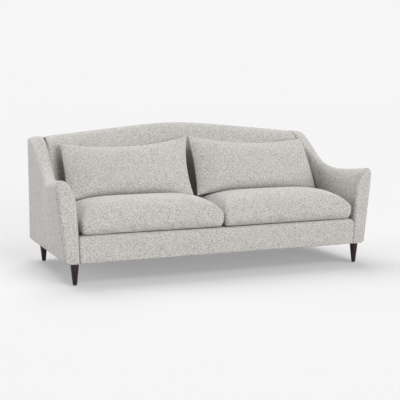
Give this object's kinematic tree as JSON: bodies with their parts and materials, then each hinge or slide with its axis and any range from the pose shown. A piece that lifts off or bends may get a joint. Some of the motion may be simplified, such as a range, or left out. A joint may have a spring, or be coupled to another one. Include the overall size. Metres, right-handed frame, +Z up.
{
  "type": "camelback sofa",
  "caption": "Camelback sofa in light grey textured fabric with scooped arms, loose seat and back cushions, and tapered dark wood legs.",
  "frame": {"origin": "middle of the footprint on the floor", "axes": "+X to the right seen from the front, +Y to the rear, +Z up"},
  "size_m": [2.138, 0.9872, 0.912],
  "materials": {
    "boucle": "nubbly light warm grey weave",
    "foam": "open-cell upholstery foam",
    "wadding": "fibre filling in a white case",
    "lining": "black non-woven cloth",
    "webbing": "jute webbing",
    "hardwood": "planed, unfinished",
    "plywood": "sawn, unfinished",
    "dark_wood": "dark espresso stain, satin lacquer",
    "zinc_steel": "zinc plated",
    "spring_steel": "dark oiled spring wire",
    "glide_nylon": "moulded",
    "zip_nylon": "coil zip on woven tape"
  },
  "bodies": {
    "sofa_frame": {"front_rail": "hardwood", "rear_seat_rail": "hardwood", "back_rail": "hardwood", "centre_stretcher": "hardwood", "top_rail": "hardwood", "back_stile": "hardwood", "front_post_left": "hardwood", "front_post_right": "hardwood", "rear_post_left": "hardwood", "rear_post_right": "hardwood", "side_rail_left": "hardwood", "side_rail_right": "hardwood", "front_corner_block_left": "hardwood", "front_corner_block_right": "hardwood", "rear_corner_block_left": "hardwood", "rear_corner_block_right": "hardwood", "arm_panel_left": "plywood", "arm_panel_right": "plywood", "seat_springs_left": "spring_steel", "seat_springs_right": "spring_steel", "back_webbing": "webbing", "arm_cover_left": "boucle", "arm_cover_right": "boucle", "back_cover": "boucle", "outside_back": "boucle", "front_rail_cover": "boucle", "arm_pad_left": "foam", "arm_pad_right": "foam", "back_pad": "foam", "seat_deck": "lining", "dust_cover": "lining", "leg_front_left": "dark_wood", "leg_front_right": "dark_wood", "leg_rear_left": "dark_wood", "leg_rear_right": "dark_wood", "leg_plate_front_left": "zinc_steel", "leg_plate_front_right": "zinc_steel", "leg_plate_rear_left": "zinc_steel", "leg_plate_rear_right": "zinc_steel", "hanger_bolt_front_left": "zinc_steel", "hanger_bolt_front_right": "zinc_steel", "hanger_bolt_rear_left": "zinc_steel", "hanger_bolt_rear_right": "zinc_steel", "glide_front_left": "glide_nylon", "glide_front_right": "glide_nylon", "glide_rear_left": "glide_nylon", "glide_rear_right": "glide_nylon"},
    "seat_cushion_left": {"seat_cushion_cover_left": "boucle", "seat_cushion_core_left": "foam", "seat_cushion_zip_left": "zip_nylon"},
    "back_cushion_left": {"back_cushion_cover_left": "boucle", "back_cushion_core_left": "wadding", "back_cushion_zip_left": "zip_nylon"},
    "seat_cushion_right": {"seat_cushion_cover_right": "boucle", "seat_cushion_core_right": "foam", "seat_cushion_zip_right": "zip_nylon"},
    "back_cushion_right": {"back_cushion_cover_right": "boucle", "back_cushion_core_right": "wadding", "back_cushion_zip_right": "zip_nylon"}
  },
  "joints": [
    {"name": "seat_cushion_left_slide", "type": "slide", "parent": "sofa_frame", "child": "seat_cushion_left", "axis": [0, -0.999, 0.0436], "range_m": [0, 0.7]},
    {"name": "seat_cushion_right_slide", "type": "slide", "parent": "sofa_frame", "child": "seat_cushion_right", "axis": [0, -0.999, 0.0436], "range_m": [0, 0.7]},
    {"name": "back_cushion_left_lift", "type": "slide", "parent": "sofa_frame", "child": "back_cushion_left", "axis": [0, 0, 1], "range_m": [0, 0.45]},
    {"name": "back_cushion_right_lift", "type": "slide", "parent": "sofa_frame", "child": "back_cushion_right", "axis": [0, 0, 1], "range_m": [0, 0.45]}
  ]
}
